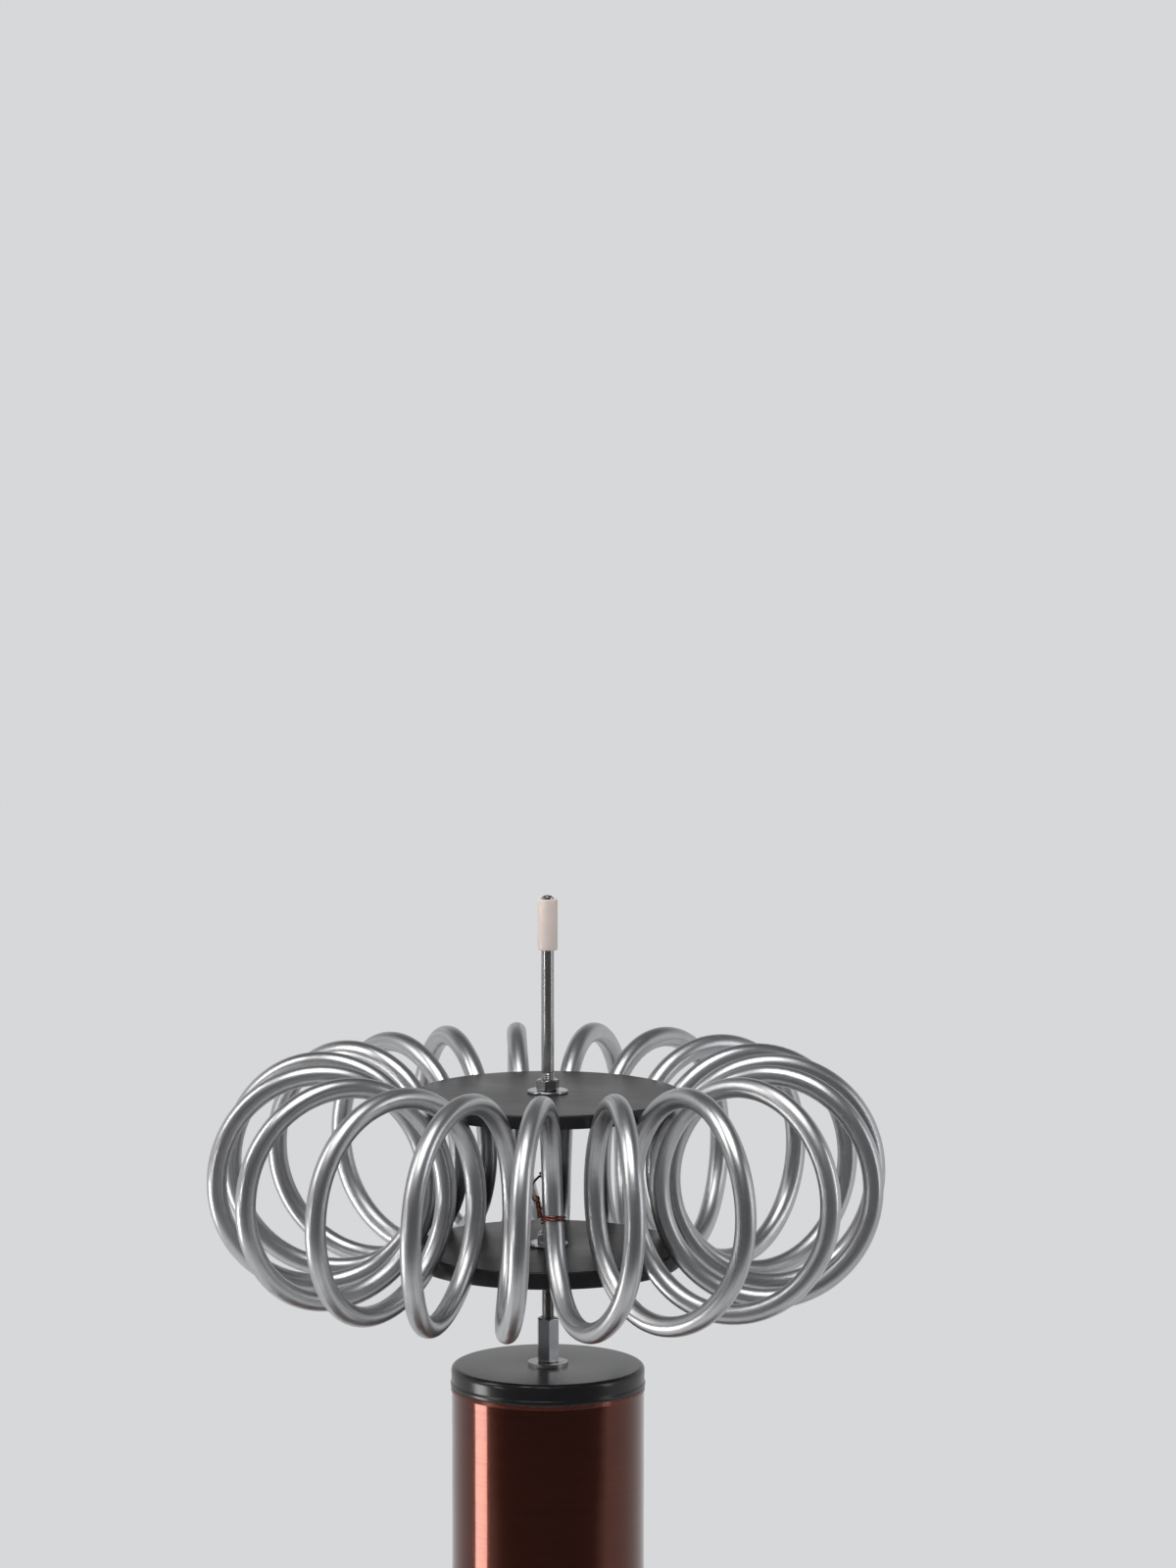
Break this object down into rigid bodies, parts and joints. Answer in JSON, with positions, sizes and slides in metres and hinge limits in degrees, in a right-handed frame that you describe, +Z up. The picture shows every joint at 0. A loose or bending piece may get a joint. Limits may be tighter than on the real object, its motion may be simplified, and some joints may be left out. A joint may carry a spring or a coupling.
{
  "type": "desktop resonant transformer",
  "caption": "Desktop resonant transformer: wound secondary with a coiled-tube toroid and discharge rod, on a square stand with flat primary coil, driver board and controls.",
  "frame": {"origin": "on the table under the coil's axis, at the centre of the stand's footprint", "axes": "+Z up along the coil's axis, -Y towards the user at the controls, +X to the user's right"},
  "size_m": [0.28, 0.28, 0.6042],
  "materials": {
    "toroid_aluminium": "drawn tube, satin",
    "spun_black": "black sheet, satin gloss",
    "zinc_steel": "bright zinc plated thread",
    "tip_ceramic": "unglazed ceramic",
    "enamelled_copper": "varnished enamelled copper winding",
    "former_tube": "extruded plastic tube",
    "cap_black": "moulded, glossy",
    "bare_copper": "bright copper tube",
    "brass_parts": "turned brass",
    "comb_plastic": "white machined plastic",
    "deck_black": "black acrylic sheet",
    "shell_paint": "fine textured black powder coat",
    "plate_paint": "black powder coat",
    "pillar_aluminium": "turned aluminium",
    "black_rubber": "moulded rubber",
    "board_green": "glass-fibre board with green lacquer",
    "sink_black": "black anodised extrusion",
    "chip_black": "moulded epoxy",
    "can_sleeve": "printed sleeve, left plain",
    "film_box": "potted red box",
    "ferrite": "coated core",
    "supply_yellow": "taped winding block",
    "fan_black": "moulded glass-filled plastic",
    "guard_wire": "chromed wire",
    "knob_black": "moulded knob",
    "rocker_red": "moulded rocker",
    "button_red": "moulded cap",
    "lamp_green": "tinted lens",
    "socket_black": "moulded black",
    "wire_sleeve": "plastic wire sleeve",
    "fuse_glass": "glass tube with plated ends"
  },
  "bodies": {
    "stand": {"rubber_feet": "black_rubber", "base_plate": "plate_paint", "corner_pillars": "pillar_aluminium", "housing_shell": "shell_paint", "deck_plate": "deck_black", "stand_screws": "zinc_steel", "coil_socket": "cap_black", "coil_former": "former_tube", "secondary_winding": "enamelled_copper", "top_cap": "cap_black", "cap_bolt": "zinc_steel", "solder_tags": "zinc_steel", "coil_leads": "bare_copper", "hex_standoff": "zinc_steel", "discharge_rod": "zinc_steel", "disc_nuts": "zinc_steel", "disc_washers": "zinc_steel", "bottom_disc": "spun_black", "top_disc": "spun_black", "tip_sleeve": "tip_ceramic", "toroid_tube": "toroid_aluminium", "tube_joiner": "pillar_aluminium", "bond_wire": "enamelled_copper", "primary_coil": "bare_copper", "coil_combs": "comb_plastic", "coil_clamps": "brass_parts", "coil_screws": "zinc_steel", "lead_grommets": "black_rubber", "driver_board": "board_green", "board_spacers": "brass_parts", "board_screws": "zinc_steel", "heat_sink": "sink_black", "power_transistors": "chip_black", "bus_capacitors": "can_sleeve", "board_chips": "chip_black", "tank_capacitors": "film_box", "ring_transformers": "ferrite", "control_supply": "supply_yellow", "fan_frame": "fan_black", "fan_guard": "guard_wire", "switch_body": "socket_black", "button_body": "zinc_steel", "lamp_lens": "lamp_green", "lamp_bezel": "guard_wire", "audio_jack": "socket_black", "control_cases": "zinc_steel", "mains_inlet": "socket_black", "inlet_pins": "brass_parts", "panel_screws": "zinc_steel", "panel_nuts": "zinc_steel", "supply_wires": "wire_sleeve"},
    "rocker": {"switch_rocker": "rocker_red"},
    "button": {"button_cap": "button_red"},
    "rate_control": {"rate_shaft": "pillar_aluminium", "rate_knob": "knob_black"},
    "power_control": {"power_shaft": "pillar_aluminium", "power_knob": "knob_black"},
    "rotor": {"fan_rotor": "fan_black"},
    "drawer": {"fuse_drawer": "socket_black", "fuse": "fuse_glass"}
  },
  "joints": [
    {"name": "power_switch", "type": "hinge", "parent": "stand", "child": "rocker", "pos_m": [-0.09, -0.125, 0.054], "axis": [1, 0, 0], "range_deg": [0, 20]},
    {"name": "button_press", "type": "slide", "parent": "stand", "child": "button", "axis": [0, 1, 0], "range_m": [0, 0.0025], "stiffness_N_per_m": 400, "springref_m": -0.002},
    {"name": "rate_turn", "type": "hinge", "parent": "stand", "child": "rate_control", "pos_m": [0.046, -0.125, 0.054], "axis": [0, 1, 0], "range_deg": [0, 280]},
    {"name": "power_turn", "type": "hinge", "parent": "stand", "child": "power_control", "pos_m": [0.092, -0.125, 0.054], "axis": [0, 1, 0], "range_deg": [0, 280]},
    {"name": "fan_spin", "type": "hinge", "parent": "stand", "child": "rotor", "pos_m": [-0.112, 0, 0.054], "axis": [1, 0, 0], "continuous": true},
    {"name": "drawer_slide", "type": "slide", "parent": "stand", "child": "drawer", "axis": [0, 1, 0], "range_m": [0, 0.02]}
  ]
}
